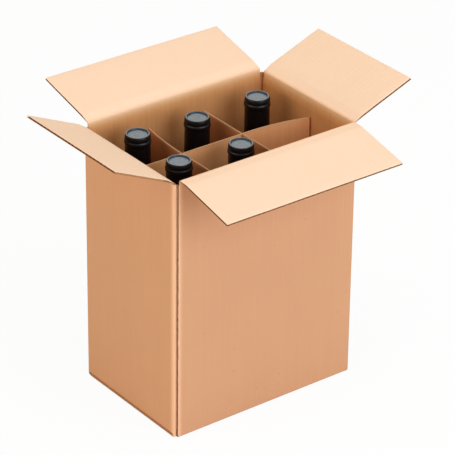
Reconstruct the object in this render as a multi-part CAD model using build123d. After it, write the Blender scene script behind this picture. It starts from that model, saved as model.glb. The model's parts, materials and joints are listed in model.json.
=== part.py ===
from build123d import *
from math import asin, cos, radians, sin, sqrt
import os

# Six-bottle shipping carton of single-wall corrugated board, standing open with its four
# top flaps folded outwards. A slotted three-piece divider makes six cells, and five sealed
# bottles with black capsules stand in them. The front right cell is empty.
#
# Millimetres. The origin is the middle of the base on the floor, +Z is up, the long front
# wall faces -Y and its left end is at -X.

# Board
board = 3.0  # thickness of the carton board
liner = 0.45  # thickness of its outer and inner paper
flute_pitch = 6.5  # length of one wave of the paper between them
flute_paper = 0.4  # thickness of that paper
flute_start = 12.0  # the waves are crushed flat this near to a top crease
edge_groove = 1.2  # depth of the open wave along a cut edge

# Bottle with its capsule, from its foot up
bottle_radius = 37.5
bottle_height = 305.0
neck_length = 68.0
bare_neck = 6.0  # straight glass below the capsule
neck_radius = 14.4
shoulder_rise = 41.0
shoulder_shares = [(0.05, 0.13), (0.24, 0.44)]  # breaks of its slope: share of the way in, then up
foil = 0.3  # thickness of the capsule's skirt
foil_crown = 0.4  # thickness of its pressed top
foil_gap = 0.1

# Cells
end_cell_play = 2.5  # room for a bottle along X in the left and right cells
middle_cell_play = 5.0  # the same in the middle cells
depth_play = 5.5  # the same along Y in every cell
head_space = 3.4  # from the bottles' tops to the closed side flaps

# Bottle places: how far each stands from the middle of its cell
back_left_shift = (1.5, 0.1)
back_middle_shift = (2.3, 0.0)
back_right_shift = (2.2, -2.3)
front_left_shift = (0.0, 4.8)
front_middle_shift = (2.2, 2.8)

# Divider
sheet = 2.0  # thickness of the divider board
sheet_shortfall = 18.0  # from the bottles' tops down to the divider's top
divider_shift = (-2.2, 4.8)  # how far the crossings stand from the middle of the box
slot_clearance = 0.3  # each side of a sheet in its slot
wall_clearance = 0.3  # between the long sheet's ends and the walls
cross_clearance = 5.0  # the same for the cross sheets
long_bow = 12.3  # how far the long sheet's right end bows forward, into the empty cell
cross_bow = 7.0  # how far the left cross sheet's back end bows to the right

# Carton
lid_gap = 0.3  # between the side flaps and the long flaps above them when closed
crease_gap = 0.3  # between a wall's mitred top and the flap that folds over it
flap_meeting_gap = 0.5  # from a long flap's free edge to the middle of the closed box
long_flap_inset = 4.5  # from the box's corner to the end of a front or back flap
side_flap_inset = 3.5  # from the box's corner to the end of a left or right flap
base_flap_inset = 2.0  # from the box's corner to the end of a long base flap
slot_depth = 1.2  # how far the corner slots run past the side creases
corner_radius = 2.0
base_fold_radius = 2.0
base_fold_rise = 9.0  # where the folded foot of a wall runs into the plain wall
seam_fold_radius = 2.7  # where the left wall turns into the glue tab
seam_inset = 3.4  # from the front left corner to the raw edge of the front wall
tab_width = 38.0
tab_taper = 10.0
tab_clearance = 4.0  # between the tab's ends and the base or the closed flaps

# Rest angles of the top flaps, from upright, outwards
front_angle = 102.4
back_angle = 76.0
left_angle = 65.4
right_angle = 69.0

# Worked-out sizes
side_floor = 2 * board
middle_floor = board
foil_length = neck_length - bare_neck
sheet_height = bottle_height - sheet_shortfall
cross_pitch = 2 * bottle_radius + middle_cell_play + sheet
inner_half_width = cross_pitch / 2 + sheet / 2 + 2 * bottle_radius + end_cell_play
inner_half_depth = sheet / 2 + 2 * bottle_radius + depth_play
outer_width = 2 * (inner_half_width + board)  # along X
outer_depth = 2 * (inner_half_depth + board)  # along Y
side_crease = side_floor + bottle_height + head_space  # height of the creases of the left and right flaps
long_crease = side_crease + board + lid_gap
flap_length = outer_depth / 2 - flap_meeting_gap  # from the crease to the free edge
slot_floor = side_crease - slot_depth
slot_ceiling = board + slot_depth
left_cross, right_cross = (divider_shift[0] + side * cross_pitch / 2 for side in (-1, 1))
left_cell = (left_cross - sheet / 2 - inner_half_width) / 2  # middle of the cells along X
right_cell = (right_cross + sheet / 2 + inner_half_width) / 2
front_row = (divider_shift[1] - sheet / 2 - inner_half_depth) / 2  # middle of the cells along Y
back_row = (divider_shift[1] + sheet / 2 + inner_half_depth) / 2


def box_between(low, high):
    """A block from its lowest corner to its highest."""
    size = [b - a for a, b in zip(low, high)]
    return Pos(*low) * Box(*size, align=(Align.MIN, Align.MIN, Align.MIN))


def wall_section(half, bottom, crease):
    """An upright wall whose top is mitred so that its flap can fold right over it."""
    return [(half, bottom), (half, crease), (half - board, crease - board), (half - board, bottom)]


def base_fold(half, reach, level, top):
    """The foot of a wall that turns through a rounded fold into its base flap."""
    radius = base_fold_radius
    corner = (half - radius * (1 - sin(radians(45))), level + radius * (1 - cos(radians(45))))
    outline = (
        Line((half, top), (half, level + radius))
        + ThreePointArc((half, level + radius), corner, (half - radius, level))
        + Polyline(
            (half - radius, level),
            (half - reach, level),
            (half - reach, level + board),
            (half - board, level + board),
            (half - board, top),
            (half, top),
        )
    )
    return make_face(outline)


def along_walls(section, plane_dir, length):
    """A section in the wall's outward and upward directions, drawn along the wall."""
    plane = Plane(origin=(0, 0, 0), x_dir=plane_dir, z_dir=Vector(plane_dir).cross(Vector(0, 0, 1)))
    return extrude(plane * section, length / 2, both=True)


def walls():
    """Four walls in a ring that is open at the front left corner, where the sheet's ends meet."""
    half_width = outer_width / 2
    half_depth = outer_depth / 2
    long_wall = make_face(Polyline(*wall_section(half_depth, slot_ceiling, long_crease), close=True))
    side_wall = make_face(Polyline(*wall_section(half_width, slot_ceiling, side_crease), close=True))
    front = along_walls(long_wall, (0, -1, 0), outer_width)
    front -= box_between(
        (-half_width, -half_depth, 0), (-half_width + seam_inset, -half_depth + board, long_crease)
    )
    back = along_walls(long_wall, (0, 1, 0), outer_width)
    right = along_walls(side_wall, (1, 0, 0), outer_depth)
    left = along_walls(side_wall, (-1, 0, 0), outer_depth)
    left -= box_between((-half_width, -half_depth, 0), (0, -half_depth + board, long_crease))
    folded_edge = left.edges().filter_by(Axis.Z).sort_by(Axis.Y)[:2].sort_by(Axis.X)[0]
    left = fillet(folded_edge, seam_fold_radius)
    ring = front + back + right + left
    for x_side in (-1, 1):
        for y_side in (-1, 1):
            corner = Pos(x_side * half_width, y_side * half_depth, slot_floor)
            ring -= corner * Box(
                2 * long_flap_inset, 2 * side_flap_inset, 4 * board,
                align=(Align.CENTER, Align.CENTER, Align.MIN),
            )
    corners = [
        edge
        for edge in ring.edges().filter_by(Axis.Z)
        if abs(abs(edge.center().X) - half_width) < 0.01 and abs(abs(edge.center().Y) - half_depth) < 0.01
    ]
    return fillet(corners, corner_radius)


def glue_tab():
    """The tab that the left wall folds into, stuck to the inside of the front wall."""
    x_from = -outer_width / 2 + seam_fold_radius
    x_to = -outer_width / 2 + tab_width
    low = side_floor + tab_clearance
    high = side_crease - board - tab_clearance
    outline = [(x_from, low), (x_to, low + tab_taper), (x_to, high - tab_taper), (x_from, high)]
    face = Plane(origin=(0, -outer_depth / 2 + board, 0), x_dir=(1, 0, 0), z_dir=(0, -1, 0)) * make_face(
        Polyline(*outline, close=True)
    )
    return extrude(face, -board)


def base_flaps():
    """Two side flaps turned in first, with the two long flaps glued under them."""
    half_width = outer_width / 2
    half_depth = outer_depth / 2
    long_fold = base_fold(half_depth, flap_length, 0, base_fold_rise)
    side_fold = base_fold(half_width, flap_length, board, base_fold_rise)
    long_length = outer_width - 2 * base_flap_inset
    side_length = outer_depth - 2 * side_flap_inset
    flaps = along_walls(long_fold, (0, -1, 0), long_length) + along_walls(long_fold, (0, 1, 0), long_length)
    flaps += along_walls(side_fold, (1, 0, 0), side_length) + along_walls(side_fold, (-1, 0, 0), side_length)
    return flaps


def carton_body():
    """The folded sheet without its top flaps."""
    body = walls() + base_flaps() + glue_tab()
    raw_edge = -outer_width / 2 + seam_inset
    groove = box_between(
        (raw_edge - 1, -outer_depth / 2 + liner, slot_ceiling - 1),
        (raw_edge + edge_groove, -outer_depth / 2 + board - liner, slot_floor + 1),
    )
    return body - groove


def flutes(width):
    """The open waves between the papers, as triangles on both sides of the wavy paper."""
    slope = sqrt((flute_pitch / 2) ** 2 + (board - 2 * liner) ** 2)
    half_gap = flute_paper / 2 * slope / (board - 2 * liner)
    tip = flute_paper / 2 * slope / (flute_pitch / 2)
    outer, inner = -liner, -board + liner
    count = int((width - 2 * edge_groove - flute_pitch) / flute_pitch)
    start = -count * flute_pitch / 2
    triangles = []
    for i in range(count):
        left = start + i * flute_pitch
        middle = left + flute_pitch / 2
        right = left + flute_pitch
        triangles.append([(inner, left + half_gap), (inner, right - half_gap), (outer - tip, middle)])
        if i < count - 1:
            triangles.append(
                [(outer, middle + half_gap), (outer, middle + flute_pitch - half_gap), (inner + tip, right)]
            )
    sections = [make_face(Polyline(*triangle, close=True)) for triangle in triangles]
    return [extrude(Pos(0, 0, flute_start) * section, flap_length) for section in sections]


def top_flap(width, side_angle, turn, crease_at):
    """A top flap: upright over a wall that faces +X, opened outwards, then turned to its wall."""
    root = crease_gap * sqrt(2)
    outline = [(0, root), (0, flap_length), (-board, flap_length), (-board, board + root)]
    panel = along_walls(make_face(Polyline(*outline, close=True)), (1, 0, 0), width)
    panel = panel.cut(*flutes(width))
    for end in (-1, 1):
        panel -= Pos(-board / 2, end * width / 2, flute_start) * Box(
            board - 2 * liner, 2 * edge_groove, flap_length,
            align=(Align.CENTER, Align.CENTER, Align.MIN),
        )
    return Pos(*crease_at) * Rot(0, 0, turn) * Rot(0, side_angle, 0) * panel


def divider_sheet(start, bend, end, bow):
    """A divider board in plan, straight from start to bend and then bowed towards -Y."""
    radius = ((end - bend) ** 2 + bow**2) / (2 * bow)
    outer, inner = radius + sheet / 2, radius - sheet / 2
    turn = asin((end - bend) / outer)

    def on_arc(distance, share):
        return (bend + distance * sin(turn * share), -radius + distance * cos(turn * share))

    outline = (
        Polyline(on_arc(inner, 0), (start, -sheet / 2), (start, sheet / 2), on_arc(outer, 0))
        + ThreePointArc(on_arc(outer, 0), on_arc(outer, 0.5), on_arc(outer, 1))
        + Line(on_arc(outer, 1), on_arc(inner, 1))
        + ThreePointArc(on_arc(inner, 1), on_arc(inner, 0.5), on_arc(inner, 0))
    )
    return extrude(Pos(0, 0, side_floor) * make_face(outline), sheet_height)


def slot_cut(x, y, low, high):
    """The half-lap slot where two divider boards cross."""
    width = sheet + 2 * slot_clearance
    return box_between((x - width / 2, y - width / 2, low), (x + width / 2, y + width / 2, high))


def divider_long():
    """The long divider, slotted from below where the cross sheets pass."""
    end = inner_half_width - wall_clearance
    board_ = divider_sheet(-end, right_cross + sheet, end, long_bow)
    lap = side_floor + sheet_height / 2 + slot_clearance
    for x in (left_cross, right_cross):
        board_ -= slot_cut(x, 0, side_floor - 1, lap)
    return Pos(0, divider_shift[1], 0) * board_


def divider_cross(x, bow):
    """A cross divider, slotted from above where it passes the long sheet."""
    end = inner_half_depth - cross_clearance
    middle = divider_shift[1]
    if bow:
        board_ = Rot(0, 0, 90) * divider_sheet(-end, middle + sheet, end, bow)
    else:
        board_ = box_between((-sheet / 2, -end, side_floor), (sheet / 2, end, side_floor + sheet_height))
    lap = side_floor + sheet_height / 2 - slot_clearance
    return Pos(x, 0, 0) * (board_ - slot_cut(0, middle, lap, side_floor + sheet_height + 1))


def bottle():
    """A sealed bottle with its filling as one solid, up to the glass under the capsule's top."""
    shoulder = bottle_height - neck_length - shoulder_rise
    glass_top = bottle_height - foil_crown
    inwards = bottle_radius - neck_radius
    breaks = [
        (bottle_radius - share_in * inwards, shoulder + share_up * shoulder_rise)
        for share_in, share_up in shoulder_shares
    ]
    outline = Polyline(
        (0, 0),
        (bottle_radius, 0),
        (bottle_radius, shoulder),
        *breaks,
        (neck_radius, shoulder + shoulder_rise),
        (neck_radius, glass_top),
        (0, glass_top),
        close=True,
    )
    return revolve(Plane.XZ * make_face(outline), Axis.Z)


def capsule():
    """The foil capsule, a closed sleeve over the bottle's neck."""
    inner = neck_radius + foil_gap
    outer = inner + foil
    end = bottle_height - foil_length
    glass_top = bottle_height - foil_crown
    outline = Polyline(
        (0, glass_top),
        (inner, glass_top),
        (inner, end),
        (outer, end),
        (outer, bottle_height),
        (0, bottle_height),
        close=True,
    )
    return revolve(Plane.XZ * make_face(outline), Axis.Z)


def save(shape, name):
    export_step(shape, f"parts/{name}.step")


def bottle_places():
    """Each bottle's name and foot: the middle row stands between the turned-in side flaps."""
    return {
        "back_left": (left_cell + back_left_shift[0], back_row + back_left_shift[1], side_floor),
        "back_middle": (divider_shift[0] + back_middle_shift[0], back_row + back_middle_shift[1], middle_floor),
        "back_right": (right_cell + back_right_shift[0], back_row + back_right_shift[1], side_floor),
        "front_left": (left_cell + front_left_shift[0], front_row + front_left_shift[1], side_floor),
        "front_middle": (divider_shift[0] + front_middle_shift[0], front_row + front_middle_shift[1], middle_floor),
    }


os.makedirs("parts", exist_ok=True)

save(carton_body(), "carton_body")

long_width = outer_width - 2 * long_flap_inset
side_width = outer_depth - 2 * side_flap_inset
save(top_flap(long_width, front_angle, -90, (0, -outer_depth / 2, long_crease)), "flap_front")
save(top_flap(long_width, back_angle, 90, (0, outer_depth / 2, long_crease)), "flap_back")
save(top_flap(side_width, left_angle, 180, (-outer_width / 2, 0, side_crease)), "flap_left")
save(top_flap(side_width, right_angle, 0, (outer_width / 2, 0, side_crease)), "flap_right")

save(divider_long(), "divider_long")
save(divider_cross(left_cross, cross_bow), "divider_cross_left")
save(divider_cross(right_cross, 0), "divider_cross_right")

for place, foot in bottle_places().items():
    save(Pos(*foot) * bottle(), f"bottle_{place}")
    save(Pos(*foot) * capsule(), f"capsule_{place}")
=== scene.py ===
import json
import math
from types import SimpleNamespace

import bmesh
import bpy
from mathutils import Matrix, Vector, noise

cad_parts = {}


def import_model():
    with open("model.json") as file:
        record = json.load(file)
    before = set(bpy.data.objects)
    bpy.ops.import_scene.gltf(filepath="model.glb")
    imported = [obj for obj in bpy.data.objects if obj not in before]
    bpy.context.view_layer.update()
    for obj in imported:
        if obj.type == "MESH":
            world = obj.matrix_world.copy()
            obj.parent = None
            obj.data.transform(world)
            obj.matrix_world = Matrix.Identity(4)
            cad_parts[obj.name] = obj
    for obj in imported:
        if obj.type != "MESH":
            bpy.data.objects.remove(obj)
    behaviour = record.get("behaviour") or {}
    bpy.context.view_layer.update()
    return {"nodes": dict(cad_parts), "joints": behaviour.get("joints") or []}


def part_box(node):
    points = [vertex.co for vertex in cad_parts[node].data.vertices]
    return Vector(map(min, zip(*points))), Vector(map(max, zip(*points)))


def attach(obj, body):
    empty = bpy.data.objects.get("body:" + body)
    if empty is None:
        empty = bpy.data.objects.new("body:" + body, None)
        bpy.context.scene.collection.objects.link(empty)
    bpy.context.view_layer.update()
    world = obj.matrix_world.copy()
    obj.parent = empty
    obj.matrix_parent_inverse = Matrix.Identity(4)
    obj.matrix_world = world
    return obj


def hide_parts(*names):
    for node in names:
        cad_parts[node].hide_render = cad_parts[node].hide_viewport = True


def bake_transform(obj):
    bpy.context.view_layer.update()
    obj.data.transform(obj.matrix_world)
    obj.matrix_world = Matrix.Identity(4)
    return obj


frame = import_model()

# Metres, in the carton's own frame: +Z is up and the long front wall faces -Y.
MM = 0.001
UP = Vector((0, 0, 1))
SIDES = ("front", "back", "left", "right")
PLACES = ("back_left", "back_middle", "back_right", "front_left", "front_middle")

# Board
BOARD = 3.0 * MM
LINER = 0.45 * MM
FLUTE_PITCH = 6.5 * MM
FLUTE_PAPER = 0.3 * MM
HALF_FLUTE = 0.7 * FLUTE_PAPER  # half the thickness of the sloping wave, measured through the board
CRUSHED = 16.0 * MM  # the waves are flat this near to a crease
WAVE_LAP = 1.0 * MM  # how far the waves run on into the crushed strip
OPEN_WAVE = 0.9 * MM  # how far the last wave stands back from a cut side edge
CUT_BACK = 0.25 * MM  # how far the waves stand back from the free edge
CUT_CRUSH = 0.30  # share of its thickness that the board loses at a cut edge
CUT_BAND = 3.0 * MM  # how far from a cut edge the board is crushed
CUT_CELL = 1.2 * MM  # size of a plate's cells at a cut edge
CELL = 8.0 * MM  # size of its other cells
RIPPLE = 0.12 * MM  # unevenness of a flap
CLOSED_WIDTH = 1.0 * MM  # of the strip that closes the left flap's front edge
CLOSED_INSET = 0.2 * MM
HINGE_GAP = 0.42 * MM  # from a wall's top edge to its flap's outer paper
SCORED = 1.0 * MM  # thickness that the board is crushed to in a crease
SCORE_REACH = 14.0 * MM  # how far from the crease the board is back to its full thickness
SCORE_CELLS = 7

# Carton
LONG_WALL_END = 4.5 * MM  # from the corner to the end of a long wall's crease
SIDE_WALL_END = 3.5 * MM
SLOT_DEPTH = 1.6 * MM  # how far the slots between the flaps run past the side creases
CAP_MARGIN = 1.4 * MM  # from the crushed top of a side wall down to the plain walls
CORNER_RADIUS = 2.2 * MM
CORNER_CELLS = 8
CORNER_VALLEY = 1.6 * MM  # half the width of the crease inside a corner
VALLEY_RIDGE = 0.5 * MM
CORNER_FOOT = 0.3 * MM  # height of the corners' lower ends
CORNER_FOOT_ROUND = 0.22  # share of the board's thickness that they are rounded by
FOOT_RADIUS = 2.0 * MM
FOOT_CELLS = 6
FOOT_RISE = 6.0 * MM  # height at which the plain walls begin
FOOT_INSET = 2.2 * MM  # from the corners to the ends of the long walls' feet
PANEL_INSET = 0.4 * MM  # from the side walls' faces to the ends of the long base flaps
MEETING_GAP = 0.03 * MM  # from the middle of the carton to each of the base flaps that meet there
TAB_WIDTH = 38.0 * MM
TAB_TAPER = 10.0 * MM
TAB_CLEARANCE = 4.0 * MM

# Glued corner
SEAM_INSET = 3.1 * MM
SEAM_GROOVE = 1.0 * MM
SEAM_RADIUS = 2.7 * MM
SEAM_SPREAD = 0.03 * MM  # between the inner points of the corner's stations, which all but meet
SEAM_CELL = 1.5 * MM
SEAM_LINER_INSET = 0.2 * MM
LINER_TEAR = 0.35 * MM
LINER_BEND = 0.25 * MM
WAVE_WAVER = 1.1 * MM
SEAM_HIGHLIGHT_BAND = 4.0 * MM  # width of the strip on each side of the seam where the painted highlight is strongest

# Divider
SHEET = 2.0 * MM
SLOT = 2.6 * MM
CROSS_PITCH = 82.0 * MM
CROSSING = Vector((-2.2 * MM, 4.8 * MM, 0))  # middle of the divider's two crossings
SHEET_LEAN = 6.0 * MM  # how far the cross sheets' tops lean between the thin necks
LEAN_START = 205.0 * MM
LONG_BOW = 12.3 * MM
CROSS_BOW = 7.0 * MM
SHEET_WAVER = 0.15 * MM
TOP_WAVER = 0.18 * MM
WORN_TOP = 4.0 * MM  # height of the rubbed band under a sheet's top
TOP_WEAR = 0.45  # share of its thickness that a sheet loses there
SHEET_CELL_WIDTH = 4.0 * MM
SHEET_CELL_HEIGHT = 30.0 * MM  # in a sheet's lower half
TOP_CELL = 0.3 * MM
END_CELL = 1.3 * MM

# Bottle and capsule, heights from the foot
BOTTLE_RADIUS = 37.5 * MM
HEEL = 4.0 * MM
PUNT_DEPTH = 18.0 * MM
PUNT_RADIUS = 27.0 * MM
PUNT_CELLS = 12
SHOULDER = 196.0 * MM
SHOULDER_CELLS = 24
NECK_START = 240.0 * MM
NECK_RADIUS = 13.9 * MM
GLASS_TOP = 303.0 * MM
CAPSULE_END = 243.0 * MM
CAPSULE_TOP = 305.0 * MM
CELLS_ROUND = 96

# Camera, fitted to the photograph's corners
VIEW_AZIMUTH = -37.518
VIEW_ELEVATION = 28.556
VIEW_DISTANCE = 3.0886
VIEW_TARGET = Vector((0.010468, 0.0, 0.184477))
VIEW_ROLL = 0.706
LENS = 219.65
SENSOR = 36.0

# Light and floor. A soft box has a place, a point that it faces, a size, a power and a tint.
SOFT_BOXES = {
    "top_soft_box": ((0.0, -0.4, 2.3), (0, 0, 0.3), 1.6, 16.2, (1.0, 0.99, 0.96)),
    "front_soft_box": ((0.45, -2.45, 1.25), (0, 0, 0.2), 2.0, 45.0, (0.77, 0.87, 1.0)),
    "left_soft_box": ((-2.55, 0.3, 1.1), (0, 0, 0.2), 2.0, 25.2, (1.0, 0.92, 0.77)),
}
WORLD_LEVEL = 0.42
WORLD_TINT = (1.0, 0.975, 0.89, 1)
FLOOR_WHITE = 0.94  # share of the floor's own look that gives way to white for the camera
FLOOR_REACH = 8.0
FLOOR_DROP = 0.2 * MM  # from the carton's foot down to the floor


# Shader helpers

def feed(tree, socket, value):
    """Links another node's output to a socket, or sets the socket to a plain value."""
    if isinstance(value, bpy.types.NodeSocket):
        tree.links.new(value, socket)
    else:
        socket.default_value = value


def add_node(tree, kind, settings=None, **inputs):
    """A shader node with its settings and its inputs, which are named, or numbered from i0 on."""
    made = tree.nodes.new(kind)
    for name, value in (settings or {}).items():
        setattr(made, name, value)
    for name, value in inputs.items():
        numbered = name[0] == "i" and name[1:].isdigit()
        feed(tree, made.inputs[int(name[1:]) if numbered else name], value)
    return made


def use_group(tree, group, **inputs):
    return add_node(tree, "ShaderNodeGroup", {"node_tree": GROUPS[group]}, **inputs)


def maths(tree, operation, *values):
    made = add_node(tree, "ShaderNodeMath", {"operation": operation})
    for socket, value in zip(made.inputs, values):
        feed(tree, socket, value)
    return made.outputs[0]


def blend_colours(tree, factor, first, second, kind="MIX"):
    settings = {"data_type": "RGBA", "blend_type": kind}
    return add_node(tree, "ShaderNodeMix", settings, i0=factor, i6=first, i7=second).outputs[2]


def remap(tree, value, low, high, to_low=0.0, to_high=1.0):
    """Maps a value from one range to another, and keeps it inside that."""
    made = add_node(
        tree, "ShaderNodeMapRange", {"clamp": True}, i0=value, i1=low, i2=high, i3=to_low, i4=to_high
    )
    return made.outputs[0]


def colour(red, green, blue):
    """A colour written in the 0 to 255 scale, as a linear one."""
    def linear(level):
        level /= 255
        return level / 12.92 if level <= 0.04045 else ((level + 0.055) / 1.055) ** 2.4
    return (linear(red), linear(green), linear(blue), 1.0)


def scaled(tone, factor):
    return tuple(level * factor for level in tone[:3]) + (1.0,)


def new_group(name, inputs, outputs):
    """An empty node group with its sockets: {name: (kind, value)} in and {name: kind} out."""
    tree = bpy.data.node_groups.new(name, "ShaderNodeTree")
    for socket, (kind, value) in inputs.items():
        made = tree.interface.new_socket(socket, in_out="INPUT", socket_type=f"NodeSocket{kind}")
        if value is not None:
            made.default_value = value
    for socket, kind in outputs.items():
        tree.interface.new_socket(socket, in_out="OUTPUT", socket_type=f"NodeSocket{kind}")
    return tree, tree.nodes.new("NodeGroupInput").outputs, tree.nodes.new("NodeGroupOutput").inputs


def new_material(name, values):
    """A material, its node tree and its shader, with plain values on some of the shader's sockets."""
    made = bpy.data.materials.new(name)
    made.use_nodes = True
    shader = made.node_tree.nodes["Principled BSDF"]
    for socket, value in values.items():
        shader.inputs[socket].default_value = value
    return made, made.node_tree, shader


# Shader groups

def kraft_fibres():
    """Mottled brown paper: cloudy tone, short fibres along the paper and a few dark specks."""
    tree, given, result = new_group(
        "kraft_fibres",
        {
            "Place": ("Vector", None),
            "Colour": ("Color", (0.5, 0.3, 0.2, 1)),
            "Cloud": ("Float", 0.06),
            "Fibre": ("Float", 0.08),
            "Specks": ("Float", 0.3),
        },
        {"Colour": "Color", "Height": "Float"},
    )
    place = given["Place"]
    cloud = add_node(tree, "ShaderNodeTexNoise", Vector=place, Scale=16.0, Detail=4.0, Roughness=0.55)
    streak = add_node(tree, "ShaderNodeMapping", Vector=place, Scale=(1.0, 1.0, 0.35))
    fibre = add_node(
        tree, "ShaderNodeTexNoise", Vector=streak.outputs[0], Scale=520.0, Detail=3.0, Roughness=0.7
    )
    grain = add_node(tree, "ShaderNodeTexNoise", Vector=place, Scale=1500.0, Detail=1.0)
    speck = add_node(tree, "ShaderNodeTexVoronoi", Vector=place, Scale=95.0, Randomness=1.0)
    chance = add_node(tree, "ShaderNodeSeparateColor", Color=speck.outputs["Color"])
    near = maths(tree, "LESS_THAN", speck.outputs["Distance"], 0.07)
    rare = maths(tree, "GREATER_THAN", chance.outputs[0], 0.86)
    specks = maths(tree, "MULTIPLY", maths(tree, "MULTIPLY", near, rare), given["Specks"])
    tone = maths(tree, "MULTIPLY", maths(tree, "SUBTRACT", cloud.outputs["Fac"], 0.5), given["Cloud"])
    fine = maths(tree, "MULTIPLY", maths(tree, "SUBTRACT", fibre.outputs["Fac"], 0.5), given["Fibre"])
    level = maths(tree, "ADD", maths(tree, "MULTIPLY", maths(tree, "ADD", tone, fine), 2.0), 1.0)
    level = maths(tree, "SUBTRACT", level, specks)
    grey = add_node(tree, "ShaderNodeCombineColor", Red=level, Green=level, Blue=level)
    shaded = blend_colours(tree, 1.0, given["Colour"], grey.outputs[0], "MULTIPLY")
    height = maths(tree, "ADD", fibre.outputs["Fac"], maths(tree, "MULTIPLY", grain.outputs["Fac"], 0.5))
    tree.links.new(shaded, result["Colour"])
    tree.links.new(height, result["Height"])
    return tree


def flute_lines():
    """Ridges that the waves inside leave on the paper, across the crease of each panel."""
    tree, given, result = new_group(
        "flute_lines",
        {"Place": ("Vector", None), "Facing": ("Vector", None), "Pitch": ("Float", FLUTE_PITCH)},
        {"Height": "Float", "Streak": "Float"},
    )
    place = add_node(tree, "ShaderNodeSeparateXYZ", i0=given["Place"])
    facing = add_node(tree, "ShaderNodeSeparateXYZ", i0=given["Facing"])
    sideways = maths(
        tree, "GREATER_THAN",
        maths(tree, "ABSOLUTE", facing.outputs[0]), maths(tree, "ABSOLUTE", facing.outputs[1]),
    )
    across = maths(
        tree, "ADD",
        maths(tree, "MULTIPLY", place.outputs[1], sideways),
        maths(tree, "MULTIPLY", place.outputs[0], maths(tree, "SUBTRACT", 1.0, sideways)),
    )
    turn = maths(tree, "DIVIDE", maths(tree, "MULTIPLY", across, math.tau), given["Pitch"])
    upward = maths(tree, "MULTIPLY", place.outputs[2], 0.03)
    line = add_node(tree, "ShaderNodeCombineXYZ", X=across, Y=upward, Z=0.0).outputs[0]
    wander = add_node(tree, "ShaderNodeTexNoise", Vector=line, Scale=70.0, Detail=3.0, Roughness=0.6)
    bent = maths(tree, "ADD", turn, maths(tree, "MULTIPLY", wander.outputs["Fac"], 3.0))
    ridge = maths(tree, "MULTIPLY", maths(tree, "SINE", bent), wander.outputs["Fac"])
    grain = add_node(tree, "ShaderNodeTexNoise", Vector=line, Scale=230.0, Detail=2.0, Roughness=0.6)
    grain_weight = 1.6
    fine = maths(tree, "MULTIPLY", grain.outputs["Fac"], grain_weight)
    streak = maths(tree, "DIVIDE", maths(tree, "ADD", wander.outputs["Fac"], fine), 1 + grain_weight)
    tree.links.new(ridge, result["Height"])
    tree.links.new(streak, result["Streak"])
    return tree


def edge_fade():
    """1 at a crease, the glued seam or a sheet's top and 0 from the reach on, steepest at the edge. It
    carries the edge tones, which paint light and shade at the creases and the seam.
    """
    tree, given, result = new_group(
        "edge_fade", {"Distance": ("Float", 0.0), "Reach": ("Float", 0.01)}, {"Fade": "Float"}
    )
    share = maths(tree, "DIVIDE", given["Distance"], given["Reach"])
    left = remap(tree, share, 0.0, 1.0, 1.0, 0.0)
    tree.links.new(maths(tree, "POWER", left, 2.2), result["Fade"])
    return tree


def foil_dents():
    """Low dents and brushed marks in pressed foil."""
    tree, given, result = new_group(
        "foil_dents", {"Place": ("Vector", None)}, {"Height": "Float", "Mark": "Float"}
    )
    place = given["Place"]
    dent = add_node(tree, "ShaderNodeTexNoise", Vector=place, Scale=160.0, Detail=2.0)
    mark = add_node(tree, "ShaderNodeTexNoise", Vector=place, Scale=900.0, Detail=4.0, Roughness=0.7)
    tree.links.new(dent.outputs["Fac"], result["Height"])
    tree.links.new(mark.outputs["Fac"], result["Mark"])
    return tree


GROUPS = {
    "kraft_fibres": kraft_fibres(), "flute_lines": flute_lines(), "foil_dents": foil_dents(),
    "edge_fade": edge_fade(),
}


# Materials

def paper_material(
    name, tone, cloud, fibre, specks, ridges, streaks, roughness, distance, edge_tone, reach
):
    """Brown paper on corrugated board. ridges is the height of the flute lines in metres. Towards a crease,
    the glued seam or a sheet's top, which the mesh measures the distance to, the paper takes its edge tone:
    at the creases and the seam that tone is painted light and shade."""
    made, tree, shader = new_material(name, {"Roughness": roughness, "Specular IOR Level": 0.25})
    where = tree.nodes.new("ShaderNodeTexCoord").outputs
    fibres = use_group(
        tree, "kraft_fibres", Place=where["Object"], Colour=tone, Cloud=cloud, Fibre=fibre, Specks=specks
    )
    lines = use_group(tree, "flute_lines", Place=where["Object"], Facing=where["Normal"])
    share = remap(tree, lines.outputs["Streak"], 0.35, 0.65, streaks, 0.0)
    shaded = blend_colours(tree, share, fibres.outputs["Colour"], scaled(tone, 0.78))
    measured = add_node(tree, "ShaderNodeAttribute", {"attribute_name": distance})
    fade = use_group(tree, "edge_fade", Distance=measured.outputs["Fac"], Reach=reach)
    # The edge tone: painted light and shade near the creases and the seam.
    wear_and_painted_light = blend_colours(tree, fade.outputs["Fade"], shaded, edge_tone)
    tree.links.new(wear_and_painted_light, shader.inputs["Base Color"])
    ridge_bump = add_node(
        tree, "ShaderNodeBump", Strength=1.0, Distance=ridges, Height=lines.outputs["Height"]
    )
    paper_bump = add_node(
        tree, "ShaderNodeBump", Strength=0.35, Distance=0.06 * MM,
        Height=fibres.outputs["Height"], Normal=ridge_bump.outputs[0],
    )
    tree.links.new(paper_bump.outputs[0], shader.inputs["Normal"])
    return made


def edge_material(name, tone, contrast):
    """The torn and cut fibres of a board's edge."""
    made, tree, shader = new_material(name, {"Roughness": 0.95, "Specular IOR Level": 0.1})
    where = tree.nodes.new("ShaderNodeTexCoord").outputs
    fibres = use_group(
        tree, "kraft_fibres", Place=where["Object"], Colour=tone, Cloud=0.1, Fibre=contrast, Specks=0.0
    )
    tree.links.new(fibres.outputs["Colour"], shader.inputs["Base Color"])
    relief = fibres.outputs["Height"]
    bump = add_node(tree, "ShaderNodeBump", Strength=0.8, Distance=0.2 * MM, Height=relief)
    tree.links.new(bump.outputs[0], shader.inputs["Normal"])
    return made


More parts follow.
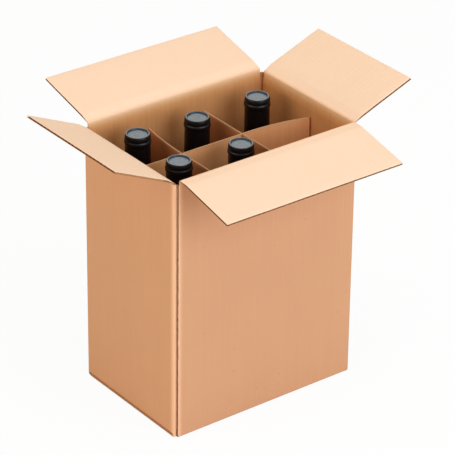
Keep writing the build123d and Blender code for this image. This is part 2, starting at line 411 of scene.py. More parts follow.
def foil_material(name, tone, metallic, roughness, dents):
    """Pressed foil. roughness is the pair that it varies between, and dents their depth in metres."""
    made, tree, shader = new_material(name, {"Metallic": metallic, "Specular IOR Level": 0.22})
    where = tree.nodes.new("ShaderNodeTexCoord").outputs
    marks = use_group(tree, "foil_dents", Place=where["Object"])
    wear_and_painted_light = remap(tree, marks.outputs["Mark"], 0.5, 0.75)
    tree.links.new(blend_colours(tree, wear_and_painted_light, tone, scaled(tone, 1.5)), shader.inputs["Base Color"])
    rough = remap(tree, marks.outputs["Mark"], 0.3, 0.7, *roughness)
    tree.links.new(rough, shader.inputs["Roughness"])
    relief = marks.outputs["Height"]
    bump = add_node(tree, "ShaderNodeBump", Strength=0.5, Distance=dents, Height=relief)
    tree.links.new(bump.outputs[0], shader.inputs["Normal"])
    return made


def glass_material():
    """Dark bottle glass with dark wine behind it, which lets nothing through."""
    made, tree, shader = new_material("dark_bottle_glass", {"IOR": 1.52})
    where = tree.nodes.new("ShaderNodeTexCoord").outputs
    smear = add_node(tree, "ShaderNodeTexNoise", Vector=where["Object"], Scale=30.0, Detail=3.0)
    tone = blend_colours(tree, smear.outputs["Fac"], (0.004, 0.006, 0.003, 1), (0.010, 0.014, 0.008, 1))
    tree.links.new(tone, shader.inputs["Base Color"])
    tree.links.new(remap(tree, smear.outputs["Fac"], 0.3, 0.7, 0.05, 0.12), shader.inputs["Roughness"])
    mould = add_node(tree, "ShaderNodeTexNoise", Vector=where["Object"], Scale=45.0, Detail=1.0)
    relief = mould.outputs["Fac"]
    bump = add_node(tree, "ShaderNodeBump", Strength=0.3, Distance=0.3 * MM, Height=relief)
    tree.links.new(bump.outputs[0], shader.inputs["Normal"])
    return made


# In the band under a sheet's top the paper goes over to its edge tone: a little darker on the long sheet,
# and lighter on the cross sheets, whose painted shade gives way there.
SHEET_PAPER = {
    "cloud": 0.06, "fibre": 0.06, "specks": 0.20, "ridges": 0.06 * MM, "streaks": 0.30,
    "roughness": 0.88, "distance": "top_distance", "reach": 5 * MM,
}
materials = SimpleNamespace(
    # The outer liner, lighter towards the glued seam: painted highlight on the seam's rounded fold and on
    # the raw edge beside it.
    outer=paper_material(
        "outer_paper", colour(213, 157, 117), cloud=0.035, fibre=0.03, specks=0.30,
        ridges=0.05 * MM, streaks=0.10, roughness=0.82,
        distance="seam_distance", edge_tone=colour(246, 190, 150), reach=7 * MM,
    ),
    # The inner liner on the walls: a darker, more orange shaded copy of the flaps' paper (painted shade),
    # lighter towards the top crease (painted light).
    inner=paper_material(
        "inner_paper", colour(215, 150, 94), cloud=0.07, fibre=0.05, specks=0.25,
        ridges=0.12 * MM, streaks=0.60, roughness=0.85,
        distance="crease_distance", edge_tone=colour(255, 216, 168), reach=11 * MM,
    ),
    # The inner liner as a pale lit copy for the flaps' faces (painted light), darker and more orange
    # towards the crease (painted shade).
    flap=paper_material(
        "lit_flap_paper", colour(249, 213, 183), cloud=0.02, fibre=0.02, specks=0.15,
        ridges=0.05 * MM, streaks=0.06, roughness=0.85,
        distance="crease_distance", edge_tone=colour(246, 200, 163), reach=4 * MM,
    ),
    # The fluting medium in its own darker brown; at the glued seam the same paper stands in for the shade
    # deep in the groove (painted shade).
    wave=edge_material("flute_paper_and_groove_shade", colour(136, 88, 54), 0.15),
    valley=edge_material("creased_paper", colour(222, 142, 90), 0.15),
    cut=edge_material("cut_board_edge", colour(176, 126, 88), 0.30),
    divider=paper_material(
        "divider_paper", colour(238, 172, 116), edge_tone=colour(214, 158, 112), **SHEET_PAPER
    ),
    # The cross sheets: the same board as the long sheet, given a darker copy of its paper as painted shade.
    cross=paper_material(
        "shaded_cross_divider_paper", colour(184, 116, 68), edge_tone=colour(206, 150, 106), **SHEET_PAPER
    ),
    divider_edge=edge_material("divider_edge", colour(208, 156, 114), 0.40),
    # A dark paper for the long sheet's right end: painted shadow where the sheet meets the right wall.
    divider_end_shadow=edge_material("divider_end_shadow", colour(160, 98, 60), 0.25),
    glass=glass_material(),
    capsule=foil_material("black_capsule", (0.002, 0.002, 0.0025, 1), 0.0, (0.26, 0.40), 0.10 * MM),
    step=foil_material("capsule_step", (0.03, 0.045, 0.06, 1), 0.6, (0.30, 0.48), 0.20 * MM),
    crown=foil_material("capsule_crown", (0.21, 0.23, 0.245, 1), 0.9, (0.20, 0.40), 1.4 * MM),
)


# Mesh helpers

def measure(shape, name, distance):
    """Keeps a distance on each point of a bmesh, for the paper's edge tones."""
    layer = shape.verts.layers.float.new(name)
    for vert in shape.verts:
        vert[layer] = distance(vert.co)


def finish_mesh(name, shape, finishes, sharp=35.0):
    """Makes the piece of a bmesh, smooth except at edges that turn by more than the sharp angle."""
    bmesh.ops.recalc_face_normals(shape, faces=shape.faces)
    for face in shape.faces:
        face.smooth = True
    for edge in shape.edges:
        edge.smooth = len(edge.link_faces) == 2 and edge.calc_face_angle() < math.radians(sharp)
    mesh = bpy.data.meshes.new(name)
    shape.to_mesh(mesh)
    shape.free()
    for finish in finishes:
        mesh.materials.append(finish)
    piece = bpy.data.objects.new(name, mesh)
    bpy.context.scene.collection.objects.link(piece)
    return piece


def slab(shape, columns, rows, point, finishes, keep=lambda i, j: True):
    """Adds a plate of cells to a bmesh. point(column, row, side) places both faces, and finishes are
    the material numbers of side 0, side 1 and the rim. Cells that keep refuses stay open."""
    corners = {}

    def corner(i, j, side):
        if (i, j, side) not in corners:
            corners[i, j, side] = shape.verts.new(point(columns[i], rows[j], side))
        return corners[i, j, side]

    def kept(i, j):
        return 0 <= i < len(columns) - 1 and 0 <= j < len(rows) - 1 and keep(i, j)

    def face(keys, finish):
        shape.faces.new([corner(*key) for key in keys]).material_index = finish

    for i in range(len(columns) - 1):
        for j in range(len(rows) - 1):
            if not kept(i, j):
                continue
            square = [(i, j), (i + 1, j), (i + 1, j + 1), (i, j + 1)]
            face([(*key, 1) for key in square], finishes[1])
            face([(*key, 0) for key in reversed(square)], finishes[0])
            beyond = [(i, j - 1), (i + 1, j), (i, j + 1), (i - 1, j)]
            for k, neighbour in enumerate(beyond):
                if not kept(*neighbour):
                    start, end = square[k], square[(k + 1) % 4]
                    face([(*start, 0), (*end, 0), (*end, 1), (*start, 1)], finishes[2])


def prism(shape, outline, origin, out, along, low, high, finishes, end_finish):
    """A straight bar of an outline of (outward, upward) points, with one finish for each of its sides."""
    rings = [
        [shape.verts.new(origin + out * o + UP * u + along * run) for o, u in outline]
        for run in (low, high)
    ]
    for k in range(len(outline)):
        other = (k + 1) % len(outline)
        face = shape.faces.new([rings[0][k], rings[0][other], rings[1][other], rings[1][k]])
        face.material_index = finishes[k]
    for ring in rings:
        shape.faces.new(ring).material_index = end_finish


def lathe(name, profile, strips, finishes, foot):
    """Turns a profile of (radius, height) points about an upright axis at foot. strips are the material
    numbers of the strips between the points."""
    shape = bmesh.new()
    closed = profile[0] == profile[-1]
    rings = []
    for radius, height in profile[:-1] if closed else profile:
        angles = [math.tau * k / CELLS_ROUND for k in range(1 if radius == 0 else CELLS_ROUND)]
        rings.append([
            shape.verts.new(foot + Vector((radius * math.cos(angle), radius * math.sin(angle), height)))
            for angle in angles
        ])
    if closed:
        rings.append(rings[0])
    for lower, upper, finish in zip(rings, rings[1:], strips):
        for k in range(CELLS_ROUND):
            following = (k + 1) % CELLS_ROUND
            loop = [lower[k % len(lower)], lower[following % len(lower)],
                    upper[following % len(upper)], upper[k % len(upper)]]
            loop = list(dict.fromkeys(loop))
            if len(loop) > 2:
                shape.faces.new(loop).material_index = finish
    return finish_mesh(name, shape, finishes)


def steps(low, high, size):
    """Even steps from low to high, no longer than size."""
    count = max(1, math.ceil((high - low) / size))
    return [low + (high - low) * i / count for i in range(count + 1)]


def arc(centre, radius, start, end, count):
    """Points of an arc in a profile, in degrees."""
    return [
        (centre[0] + radius * math.cos(math.radians(start + (end - start) * i / count)),
         centre[1] + radius * math.sin(math.radians(start + (end - start) * i / count)))
        for i in range(count + 1)
    ]


def eased(share):
    """A share from 0 to 1 that starts and ends gently."""
    return share * share * (3 - 2 * share)


# Creases and flaps

# Distances from a crease at which the crushed board has a row of points
SCORE_STEPS = [SCORED + (SCORE_REACH - SCORED) * i / SCORE_CELLS for i in range(SCORE_CELLS + 1)]


def crease(side):
    """One top crease: its hinge line, the way out of the box, and its flap's directions at rest."""
    joint = next(j for j in frame["joints"] if j["name"] == f"{side}_flap_crease")
    along = Vector(joint["axis"])
    pivot = Vector(joint["pos_m"])
    opened = -90 - joint["range_deg"][0]
    turn = Matrix.Rotation(math.radians(opened), 3, along)
    outwards = Vector((pivot.x, pivot.y, 0)).normalized()
    solid = frame["nodes"][f"flap_{side}"].data.vertices
    away = turn @ UP
    return SimpleNamespace(
        side=side, body=f"{side}_flap", along=along, pivot=pivot, outwards=outwards,
        away=away, inwards=turn @ -outwards,
        reach=max((v.co - pivot).dot(away) for v in solid),
        half=max(abs(v.co.dot(along)) for v in solid),
    )


def scored_depth(away):
    """How far in from the outer face the inner face lies, at a distance from the crease."""
    share = min(1, max(0, (away - SCORED) / (SCORE_REACH - SCORED)))
    return SCORED + (BOARD - SCORED) * eased(share)


def with_edges(low, high):
    """Steps across a flap with short ones at both ends, for the crushed edges."""
    return [low, low + CUT_CELL, *steps(low + CUT_BAND, high - CUT_BAND, CELL), high - CUT_CELL, high]


def number_of(word):
    """A fixed number for a word, to give each flap its own unevenness."""
    return sum(ord(letter) * (index + 1) for index, letter in enumerate(word)) % 97


def flap(line):
    """A top flap of corrugated board: two papers, the wave between them and the crushed strip at the
    crease."""
    shape = bmesh.new()
    outer, inner, cut, wave = range(4)
    crushed_rows = [0, *SCORE_STEPS[1:], CRUSHED]
    free_rows = [*steps(CRUSHED, line.reach - CUT_BAND, CELL), line.reach - CUT_CELL, line.reach]
    rows = crushed_rows + free_rows[1:]

    def at(across, along_flap, depth):
        """A point of the flap: across its width, away from the crease, and in from its outer face."""
        to_edge = min(line.half - abs(across), line.reach - along_flap)
        crush = CUT_CRUSH * max(0, 1 - to_edge / CUT_BAND) ** 2 * min(1, along_flap / CRUSHED)
        depth = BOARD / 2 + (depth - BOARD / 2) * (1 - crush)
        ripple = RIPPLE * noise.noise(Vector((across * 30, along_flap * 30, number_of(line.side))))
        return line.pivot + line.along * across + line.away * along_flap + line.inwards * (depth + ripple)

    def mitred(across, along_flap, depth):
        """Such a point, kept clear of the wall at the crease."""
        return at(across, max(along_flap, HINGE_GAP + depth), depth)

    def outer_paper(across, along_flap, side):
        return mitred(across, along_flap, LINER if side else 0)

    def inner_paper(across, along_flap, side):
        return mitred(across, along_flap, scored_depth(along_flap) - (0 if side else LINER))

    def crushed(across, along_flap, side):
        return mitred(across, along_flap, scored_depth(along_flap) - LINER if side else LINER)
    across_steps = with_edges(-line.half, line.half)
    slab(shape, across_steps, rows, outer_paper, (outer, wave, cut))
    slab(shape, across_steps, rows, inner_paper, (wave, inner, cut))
    inset = with_edges(-line.half + OPEN_WAVE, line.half - OPEN_WAVE)
    slab(shape, inset, crushed_rows, crushed, (wave, wave, cut))
    if line.side == "left":
        def closed(across, along_flap, side):
            return at(across, along_flap, BOARD - LINER if side else LINER)
        edge = line.half - CLOSED_INSET
        span = [CRUSHED, line.reach - CLOSED_WIDTH]
        slab(shape, [edge - CLOSED_WIDTH, edge], span, closed, (cut, cut, cut))

    swing = BOARD / 2 - LINER - HALF_FLUTE

    def waves(across, along_flap, side):
        """The wave, thicker where it is cut. There the left flap's is filled on its outer side."""
        rise = math.sin(math.tau * across / FLUTE_PITCH)
        at_cut = along_flap >= line.reach - CUT_CELL
        half = HALF_FLUTE * (1.7 if at_cut else 1)
        depth = BOARD / 2 + swing * rise + (half if side else -half)
        if at_cut and line.side == "left":
            depth = (BOARD / 2 + swing * (0.9 * rise + 0.1) + HALF_FLUTE) if side else LINER
        return at(across, along_flap, depth)
    wave_rows = [
        CRUSHED - WAVE_LAP, line.reach - CUT_BAND, line.reach - CUT_CELL, line.reach - CUT_BACK
    ]
    wave_columns = steps(-line.half + OPEN_WAVE, line.half - OPEN_WAVE, FLUTE_PITCH / 10)
    slab(shape, wave_columns, wave_rows, waves, (wave, wave, wave if line.side == "left" else cut))
    # Distance from the crease, for the flap paper's painted shade there.
    measure(shape, "crease_distance", lambda point: (point - line.pivot).dot(line.away))
    measure(shape, "seam_distance", lambda point: 1.0)
    piece = finish_mesh(
        f"board_flap_{line.side}", shape, [materials.outer, materials.flap, materials.cut, materials.wave]
    )
    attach(piece, line.body)
    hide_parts(f"flap_{line.side}")


def fold(line):
    """The inner paper rolled over the crease, from the wall's inner face to the flap's."""
    shape = bmesh.new()
    paper, cut = range(2)
    lap = 0.2 * MM
    wall_foot = line.pivot - (line.outwards + UP) * SCORED
    wall_top = line.pivot - line.outwards * SCORED - UP * lap
    flap_foot = line.pivot + line.inwards * SCORED + line.away * lap
    flap_start = line.pivot + line.inwards * SCORED + line.away * (SCORED + HINGE_GAP)
    section = [wall_foot, wall_top, flap_foot, flap_start, line.pivot]
    rings = [
        [shape.verts.new(point + line.along * across) for point in section]
        for across in steps(-line.half, line.half, CELL)
    ]
    for ring, following in zip(rings, rings[1:]):
        for k in range(len(section)):
            other = (k + 1) % len(section)
            face = shape.faces.new([ring[k], ring[other], following[other], following[k]])
            face.material_index = paper if k < 3 else cut
    for end in (rings[0], rings[-1]):
        shape.faces.new(end).material_index = cut
    # The fold lies at the crease, so it takes the flap paper's crease tone in full: painted shade.
    measure(shape, "crease_distance", lambda point: 0.0)
    piece = finish_mesh(f"fold_{line.side}", shape, [materials.flap, materials.cut], sharp=80.0)
    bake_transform(piece)


# Divider

def divider(name, node, offset, bend, bow, across, slots_at, slots_from_top):
    """A divider board with its half-lap slots. It runs along X or Y, at its offset on the other axis, and
    from bend to its end it curves aside by bow."""
    low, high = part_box(node)
    end = high.x if across == "x" else high.y
    radius = ((end - bend) ** 2 + bow ** 2) / (2 * bow) if bow else 0
    middle = (low.z + high.z) / 2

    def point(run, height, side):
        wear_and_painted_light = min(1, max(0, (height - high.z + WORN_TOP) / WORN_TOP))
        shift = SHEET / 2 * (1 if side else -1) * (1 - TOP_WEAR * wear_and_painted_light)
        turned = math.asin((run - bend) / radius) if bow and run > bend else 0.0
        forward = run + shift * math.sin(turned)
        aside = -radius * (1 - math.cos(turned)) + shift * math.cos(turned) if bow else shift
        aside += SHEET_WAVER * noise.noise(Vector((run * 60, height * 20, offset * 100)))
        top = TOP_WAVER * noise.noise(Vector((run * 400, offset * 50, 3))) if height == high.z else 0
        if across == "x":
            return Vector((forward, offset + aside, height - abs(top)))
        lean = eased(min(1, max(0, (height - LEAN_START) / (high.z - LEAN_START))))
        return Vector((offset - aside - SHEET_LEAN * lean, forward, height - abs(top)))

    cuts = sorted(s + d for s in slots_at for d in (-SLOT / 2, SLOT / 2))
    marks = [-end, *cuts, end]
    columns = [s for a, b in zip(marks, marks[1:]) for s in steps(a, b, SHEET_CELL_WIDTH)[:-1]]
    columns += [end - END_CELL, end]
    rows = [
        *steps(low.z, middle, SHEET_CELL_HEIGHT), *steps(middle, high.z - WORN_TOP, CELL)[1:],
        high.z - CUT_CELL, high.z - TOP_CELL, high.z,
    ]

    def keep(i, j):
        along = (columns[i] + columns[i + 1]) / 2
        height = (rows[j] + rows[j + 1]) / 2
        in_slot = any(abs(along - s) < SLOT / 2 for s in slots_at)
        return not (in_slot and (height > middle) == slots_from_top)

    shape = bmesh.new()
    paper, edge, shadowed_end = range(3)
    slab(shape, columns, rows, point, (paper, paper, edge), keep)
    # The last cells at the long sheet's right end take the dark end paper: painted shadow against the right
    # wall.
    if across == "x":
        for face in shape.faces:
            if face.calc_center_median().x > end - END_CELL:
                face.material_index = shadowed_end
    measure(shape, "top_distance", lambda point: high.z - point.z)
    faces = materials.divider if across == "x" else materials.cross
    piece = finish_mesh(name, shape, [faces, materials.divider_edge, materials.divider_end_shadow])
    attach(piece, "carton")
    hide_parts(node)


def dividers():
    """The long sheet, slotted from below, and the two cross sheets, slotted from above."""
    left, right = CROSSING.x - CROSS_PITCH / 2, CROSSING.x + CROSS_PITCH / 2
    divider(
        "long_divider", "divider_long", CROSSING.y, bend=right + SHEET, bow=LONG_BOW,
        across="x", slots_at=(left, right), slots_from_top=False,
    )
    for side, offset, bow in (("left", left, CROSS_BOW), ("right", right, 0)):
        divider(
            f"{side}_cross_divider", f"divider_cross_{side}", offset, bend=CROSSING.y + SHEET, bow=bow,
            across="y", slots_at=[CROSSING.y], slots_from_top=True,
        )


# Bottles

def bottle_profile():
    """From the punt's top, down to the foot, up the body, over the shoulder and up the neck to the glass
    under the capsule."""
    handles = [
        (BOTTLE_RADIUS, SHOULDER), (BOTTLE_RADIUS, SHOULDER + 22 * MM),
        (NECK_RADIUS + 1.2 * MM, SHOULDER + 27 * MM), (NECK_RADIUS, NECK_START),
    ]

    def bezier(t):
        weights = ((1 - t) ** 3, 3 * t * (1 - t) ** 2, 3 * t * t * (1 - t), t ** 3)
        return tuple(sum(w * p[k] for w, p in zip(weights, handles)) for k in (0, 1))
    punt = [
        (PUNT_RADIUS * i / PUNT_CELLS, PUNT_DEPTH * (0.5 + 0.5 * math.cos(math.pi * i / PUNT_CELLS)))
        for i in range(PUNT_CELLS + 1)
    ]
    heel = arc((BOTTLE_RADIUS - HEEL, HEEL), HEEL, -90, 0, 8)
    shoulder = [bezier(i / SHOULDER_CELLS) for i in range(SHOULDER_CELLS + 1)]
    top = arc((NECK_RADIUS - 2 * MM, GLASS_TOP - 2 * MM), 2 * MM, 0, 90, 6)
    return [*punt, *heel, *shoulder, *top, (0, GLASS_TOP)]


def capsule_profile():
    """The foil's outer face from its skirt over the lip and the flared top to the sunk crown, and back
    down its inner face, with the number of the finish of each strip: skirt 0, step 1, rim and crown 2."""
    def below(*points):
        """Points given in millimetres as radius and drop from the capsule's top."""
        return [(radius * MM, CAPSULE_TOP - drop * MM) for radius, drop in points]
    skirt = [(14.6 * MM, CAPSULE_END), (14.3 * MM, CAPSULE_END + 14 * MM), *below((14.15, 14.0))]
    lip = below((14.2, 12.4), (14.45, 11.6), (14.9, 11.0), (15.0, 10.3), (14.95, 8.4), (14.8, 7.6),
                (14.25, 6.9), (14.05, 6.4), (14.05, 5.7), (14.4, 5.1))
    flare = below((14.35, 4.2), (14.05, 2.4), (13.8, 1.3), (13.5, 0.55), (13.1, 0.12))
    rim = below((12.8, 0.0), (11.9, 0.0))
    step = below((11.4, 0.3), (10.95, 1.35), (10.4, 1.5))
    crown = below((9.0, 1.35), (8.2, 1.05), (7.6, 1.3), (5.2, 1.35), (4.7, 1.15), (3.6, 1.15),
                  (3.1, 1.35), (0, 1.35))
    inside = [(0, GLASS_TOP + 0.2 * MM), (12.0 * MM, GLASS_TOP + 0.2 * MM),
              (14.0 * MM, GLASS_TOP - 2 * MM), (14.0 * MM, CAPSULE_END)]
    runs = ((skirt, 0), (lip, 0), (flare, 0), (rim, 2), (step, 1), (crown, 2), (inside, 0))
    profile = [point for points, finish in runs for point in points]
    strips = [finish for points, finish in runs for point in points][1:]
    return [*profile, profile[0]], [*strips, 0]


def bottles():
    glass_outline = bottle_profile()
    glass_strips = [0] * (len(glass_outline) - 1)
    foil_outline, foil_strips = capsule_profile()
    foil_finishes = [materials.capsule, materials.step, materials.crown]
    for place in PLACES:
        low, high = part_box(f"bottle_{place}")
        foot = Vector(((low.x + high.x) / 2, (low.y + high.y) / 2, low.z))
        glass = lathe(f"glass_{place}", glass_outline, glass_strips, [materials.glass], foot)
        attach(glass, "carton")
        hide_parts(f"bottle_{place}")
        cover = lathe(f"foil_{place}", foil_outline, foil_strips, foil_finishes, foot)
        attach(cover, "carton")
        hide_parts(f"capsule_{place}")


# Carton walls

OUTER, INNER, CUT, VALLEY, WAVE = range(5)  # numbers of the walls' finishes


def quarter_turn(start):
    """Directions round a corner of the carton, from the angle start on."""
    angles = [math.radians(start + 90 * i / CORNER_CELLS) for i in range(CORNER_CELLS + 1)]
    return [Vector((math.cos(angle), math.sin(angle), 0)) for angle in angles]


def corner_turn(start, x_side, y_side, half_width, half_depth):
    """Stations round a corner of the carton, each (outer point, inner point), from the angle start on."""
    corner = Vector((x_side * half_width, y_side * half_depth, 0))
    out = Vector((x_side, y_side, 0))
    outer_centre = corner - out * CORNER_RADIUS
    inner_centre = corner - out * (BOARD + CORNER_VALLEY)
    turn = []
    for i, way in enumerate(quarter_turn(start)):
        ridge = VALLEY_RIDGE * max(0, 1 - abs(i - CORNER_CELLS / 2) / 2)
        reach = CORNER_VALLEY / max(abs(way.x), abs(way.y)) + ridge
        turn.append((outer_centre + way * CORNER_RADIUS, inner_centre + way * reach))
    return turn


def ring_stations(half_width, half_depth):
    """Stations of the walls from the front wall's raw edge round to the fold of the glued corner."""
    def across(x, side):
        return Vector((x, side * half_depth, 0)), Vector((x, side * (half_depth - BOARD), 0))

    def along(y, side):
        return Vector((side * half_width, y, 0)), Vector((side * (half_width - BOARD), y, 0))
    long_end, side_end = half_width - LONG_WALL_END, half_depth - SIDE_WALL_END
    glued_corner = Vector((-half_width + SEAM_RADIUS, -half_depth + BOARD + SEAM_RADIUS, 0))
    raw_end = -half_width + SEAM_INSET + SEAM_GROOVE
    # Stations at the seam and at the edge of its painted highlight on each side.
    stations = [across(raw_end, -1), across(raw_end + SEAM_HIGHLIGHT_BAND, -1), across(long_end, -1)]
    stations += corner_turn(-90, 1, -1, half_width, half_depth)
    stations += [along(-side_end, 1), along(side_end, 1)]
    stations += corner_turn(0, 1, 1, half_width, half_depth)
    stations += [across(long_end, 1), across(-long_end, 1)]
    stations += corner_turn(90, -1, 1, half_width, half_depth)
    stations += [along(side_end, -1), along(glued_corner.y + SEAM_HIGHLIGHT_BAND, -1)]
    for i, way in enumerate(quarter_turn(180)):
        inner = Vector((-half_width + BOARD + SEAM_SPREAD * i, -half_depth + 2 * BOARD, 0))
        stations.append((glued_corner + way * SEAM_RADIUS, inner))
    return stations


def wall_ring(shape, half_width, half_depth, ring_top, slot_floor):
    """The walls and corners in one ring of plates, open where the feet and the crushed tops go."""
    stations = ring_stations(half_width, half_depth)

    def ring(index, height, side):
        outer_point, inner_point = stations[index]
        if height == CORNER_FOOT:
            outer_point = outer_point.lerp(inner_point, CORNER_FOOT_ROUND)
        return (inner_point if side else outer_point) + UP * height
    heights = [CORNER_FOOT, FOOT_RADIUS, FOOT_RISE, ring_top, slot_floor]
    straight = (0, 1, 2, 12, 22, 23, 24, 34, 35)  # the cells between the rounded corners
    creased = (0, 1, 12, 23, 34, 35)  # those of them that lie under a crease
    open_cells = (straight, straight, (), creased)  # in each row

    def keep(i, j):
        return i not in open_cells[j]
    slab(shape, list(range(len(stations))), heights, ring, (OUTER, INNER, CUT), keep)


def wall_top(shape, line, start, end, ring_top):
    """The top of a wall from start to end, crushed from its full thickness to its edge at the crease."""
    def cap(across, below, side):
        height = -below if side == 0 else -max(below, SCORED)
        depth = scored_depth(below) if side else 0
        return line.pivot + line.along * across - line.outwards * depth + UP * height
    columns = [start, end]
    if line.side == "front":
        columns.insert(1, -line.half + SEAM_HIGHLIGHT_BAND)
    if line.side == "left":
        columns.insert(1, end - SEAM_HIGHLIGHT_BAND)
    drops = [line.pivot.z - ring_top, *reversed(SCORE_STEPS[1:]), 0]
    slab(shape, columns, drops, cap, (OUTER, INNER, CUT))


def wall_foot(shape, line, start, end, half_width, half_depth):
    """The bend at a wall's foot and its base flap. The long flaps lie on the floor under the side ones."""
    on_floor = line.side in ("front", "back")
    level = 0 if on_floor else BOARD
    reach = half_depth - MEETING_GAP
    bend = arc((-FOOT_RADIUS, level + FOOT_RADIUS), FOOT_RADIUS, 0, -90, FOOT_CELLS)
    turned = -FOOT_RADIUS - BOARD if on_floor else -reach
    foot = [(0, FOOT_RISE), *bend, (turned, level), (turned, level + BOARD)]
    finishes = [OUTER] * (len(foot) - 2) + [CUT, INNER]
    if on_floor:
        foot += [(-BOARD, BOARD), (-BOARD, FOOT_RISE)]
        finishes += [INNER, INNER]
    base = Vector((line.pivot.x, line.pivot.y, 0))
    prism(shape, foot, base, line.outwards, line.along, start, end, finishes, CUT)
    if on_floor:
        panel = [(turned, BOARD), (turned, 0), (-reach, 0), (-reach, BOARD)]
        wide = half_width - PANEL_INSET
        prism(shape, panel, base, line.outwards, line.along, -wide, wide, (CUT, OUTER, CUT, INNER), CUT)


def glue_tab(shape, half_width, half_depth, side_crease):
    """The tapered tab at the end of the left wall, behind the front wall."""
    start, end = -half_width + BOARD, -half_width + TAB_WIDTH
    low, high = 2 * BOARD + TAB_CLEARANCE, side_crease - BOARD - TAB_CLEARANCE

    def tab(x, at_top, side):
        taper = TAB_TAPER * (x - start) / (end - start)
        height = high - taper if at_top else low + taper
        return Vector((x, -half_depth + BOARD * (2 if side else 1), height))
    slab(shape, [start, end], [False, True], tab, (OUTER, INNER, CUT))


def carton():
    """The walls in a ring, their crushed creases, the folded feet with the base flaps, and the glue tab."""
    half_width, half_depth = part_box("carton_body")[1].xy
    creases = {side: crease(side) for side in SIDES}
    side_crease = creases["left"].pivot.z
    ring_top = side_crease - SCORE_REACH - CAP_MARGIN
    raw_end = -half_width + SEAM_INSET + SEAM_GROOVE
    seam_fold = half_depth - BOARD - SEAM_RADIUS
    shape = bmesh.new()
    wall_ring(shape, half_width, half_depth, ring_top, side_crease - SLOT_DEPTH)
    for side, line in creases.items():
        start = raw_end if side == "front" else -line.half
        end = seam_fold if side == "left" else line.half
        wall_top(shape, line, start, end, ring_top)
    for side, line in creases.items():
        half = half_width - FOOT_INSET if side in ("front", "back") else half_depth - SIDE_WALL_END
        start = raw_end if side == "front" else -half
        end = seam_fold if side == "left" else half
        wall_foot(shape, line, start, end, half_width, half_depth)
    glue_tab(shape, half_width, half_depth, side_crease)

    valley_start, valley_end = BOARD + CORNER_VALLEY, 0.6 * BOARD
    for face in shape.faces:
        middle = face.calc_center_median()
        near_x = half_width - valley_start < abs(middle.x) < half_width - valley_end
        near_y = half_depth - valley_start < abs(middle.y) < half_depth - valley_end
        if face.material_index == INNER and near_x and near_y:
            face.material_index = VALLEY
        # The raw edge's end face at the bottom of the seam groove takes the dark flute paper: painted shade
        # in the groove.
        if face.material_index == CUT and abs(middle.x - raw_end) < 0.01 * MM:
            face.material_index = WAVE

    def to_crease(point):
        beside_corner = abs(point.x) > half_width - LONG_WALL_END + 0.1 * MM
        on_long_wall = not beside_corner and abs(point.y) > half_depth - 1.5 * BOARD
        return creases["front" if on_long_wall else "left"].pivot.z - point.z

    def to_seam(point):
        if point.y < -half_depth + 0.5 * BOARD:
            return abs(point.x - raw_end)
        return max(0, point.y + seam_fold) + max(0, point.x + half_width - SEAM_RADIUS)
    # Distances for the inner walls' painted light under the top crease and the outer paper's painted
    # highlight along the seam.
    measure(shape, "crease_distance", to_crease)
    measure(shape, "seam_distance", to_seam)
    piece = finish_mesh("carton_walls", shape, [
        materials.outer, materials.inner, materials.cut, materials.valley, materials.wave,
    ])
    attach(piece, "carton")
    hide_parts("carton_body")


def seam():
    """The front wall's raw edge at the glued corner: its two papers and the torn wave between them."""
    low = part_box("carton_body")[0]
    top = crease("left").pivot.z - SLOT_DEPTH
    shape = bmesh.new()
    paper, cut, wave = range(3)
    raw_edge = low.x + SEAM_INSET
    heights = steps(FOOT_RADIUS, top, SEAM_CELL)

    def liner_at(depth):
        def point(height, share, side):
            ragged = LINER_TEAR * noise.noise(Vector((depth * 4000, 0, height * 120)))
            x = raw_edge + SEAM_GROOVE if share else raw_edge + SEAM_LINER_INSET + ragged
            bend = LINER_BEND * noise.noise(Vector((9, depth * 4000, height * 70))) * (1 - share)
            return Vector((x, low.y + depth + LINER * side + max(0, bend), height))
        return point
    slab(shape, heights, [0, 1], liner_at(0), (paper, cut, cut))
    slab(shape, heights, [0, 1], liner_at(BOARD - LINER), (paper, cut, cut))

    def torn(height, share, side):
        waver = WAVE_WAVER * noise.noise(Vector((0, 0, height * 150)))
        tear = 0.5 + 0.5 * noise.noise(Vector((7, 0, height * 190)))
        x = raw_edge + SEAM_GROOVE * (1 - share * (0.25 + 0.75 * tear))
        return Vector((x, low.y + BOARD / 2 + waver + (side - 0.5) * FLUTE_PAPER, height))
    slab(shape, heights, [0, 1], torn, (wave, wave, cut))
    # The liners lie at the seam, so their paper takes the seam's painted highlight in full.
    measure(shape, "seam_distance", lambda point: 0.0)
    piece = finish_mesh("seam_edge", shape, [materials.outer, materials.cut, materials.wave])
    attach(piece, "carton")


# Stage

def floor():
    """A pale floor that is white to the eye except where the carton's soft shadow falls."""
    made, tree, shader = new_material(
        "pale_floor", {"Base Color": (0.93, 0.93, 0.93, 1), "Roughness": 0.9, "Specular IOR Level": 0.0}
    )
    path = tree.nodes.new("ShaderNodeLightPath")
    glow = add_node(tree, "ShaderNodeEmission", Strength=1.0)
    share = maths(tree, "MULTIPLY", path.outputs["Is Camera Ray"], FLOOR_WHITE)
    mix = add_node(tree, "ShaderNodeMixShader", i0=share, i1=shader.outputs[0], i2=glow.outputs[0])
    tree.links.new(mix.outputs[0], tree.nodes["Material Output"].inputs["Surface"])
    shape = bmesh.new()
    bmesh.ops.create_grid(shape, x_segments=1, y_segments=1, size=FLOOR_REACH)
    mesh = bpy.data.meshes.new("floor")
    shape.to_mesh(mesh)
    shape.free()
    mesh.materials.append(made)
    plane = bpy.data.objects.new("floor", mesh)
    plane.location.z = -FLOOR_DROP
    bpy.context.scene.collection.objects.link(plane)


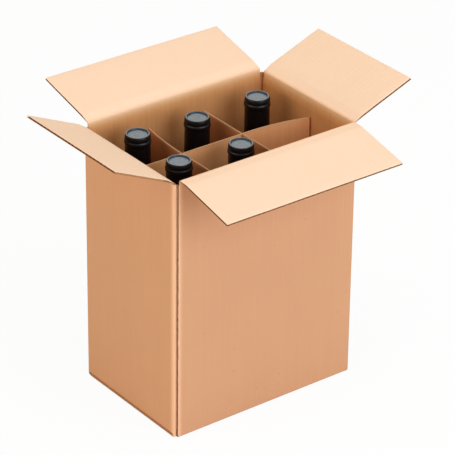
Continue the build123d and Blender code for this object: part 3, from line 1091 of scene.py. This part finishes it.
def world():
    """White to the eye and to reflections, and a plain soft level as light."""
    made = bpy.data.worlds.new("studio")
    bpy.context.scene.world = made
    made.use_nodes = True
    tree = made.node_tree
    path = tree.nodes.new("ShaderNodeLightPath")
    seen = maths(tree, "MAXIMUM", path.outputs["Is Camera Ray"], path.outputs["Is Glossy Ray"])
    seen = maths(tree, "MAXIMUM", seen, path.outputs["Is Transmission Ray"])
    shader = tree.nodes["Background"]
    tree.links.new(blend_colours(tree, seen, WORLD_TINT, (1, 1, 1, 1)), shader.inputs["Color"])
    tree.links.new(remap(tree, seen, 0.0, 1.0, WORLD_LEVEL, 1.0), shader.inputs["Strength"])


def soft_box(name, place, aim, size, power, tint):
    light = bpy.data.lights.new(name, "AREA")
    light.shape = "SQUARE"
    light.size = size
    light.energy = power
    light.color = tint
    holder = bpy.data.objects.new(name, light)
    holder.location = place
    holder.rotation_mode = "QUATERNION"
    holder.rotation_quaternion = (Vector(aim) - Vector(place)).to_track_quat("-Z", "Y")
    bpy.context.scene.collection.objects.link(holder)


def camera():
    azimuth, elevation, roll = (math.radians(a) for a in (VIEW_AZIMUTH, VIEW_ELEVATION, VIEW_ROLL))
    level = math.cos(elevation)
    back = Vector((math.sin(azimuth) * level, -math.cos(azimuth) * level, math.sin(elevation)))
    right = (-back).cross(UP).normalized()
    upright = back.cross(right)
    rolled_right = right * math.cos(roll) + upright * math.sin(roll)
    rolled_up = upright * math.cos(roll) - right * math.sin(roll)
    data = bpy.data.cameras.new("camera")
    data.lens = LENS
    data.sensor_width = SENSOR
    data.clip_start, data.clip_end = 0.1, 50
    holder = bpy.data.objects.new("camera", data)
    turned = Matrix((rolled_right, rolled_up, back)).transposed().to_4x4()
    holder.matrix_world = Matrix.Translation(VIEW_TARGET + back * VIEW_DISTANCE) @ turned
    bpy.context.scene.collection.objects.link(holder)
    bpy.context.scene.camera = holder


camera()
bpy.context.scene.view_settings.view_transform = "Standard"
world()
for name, box in SOFT_BOXES.items():
    soft_box(name, *box)
floor()

carton()
seam()
for side in SIDES:
    line = crease(side)
    flap(line)
    fold(line)
dividers()
bottles()
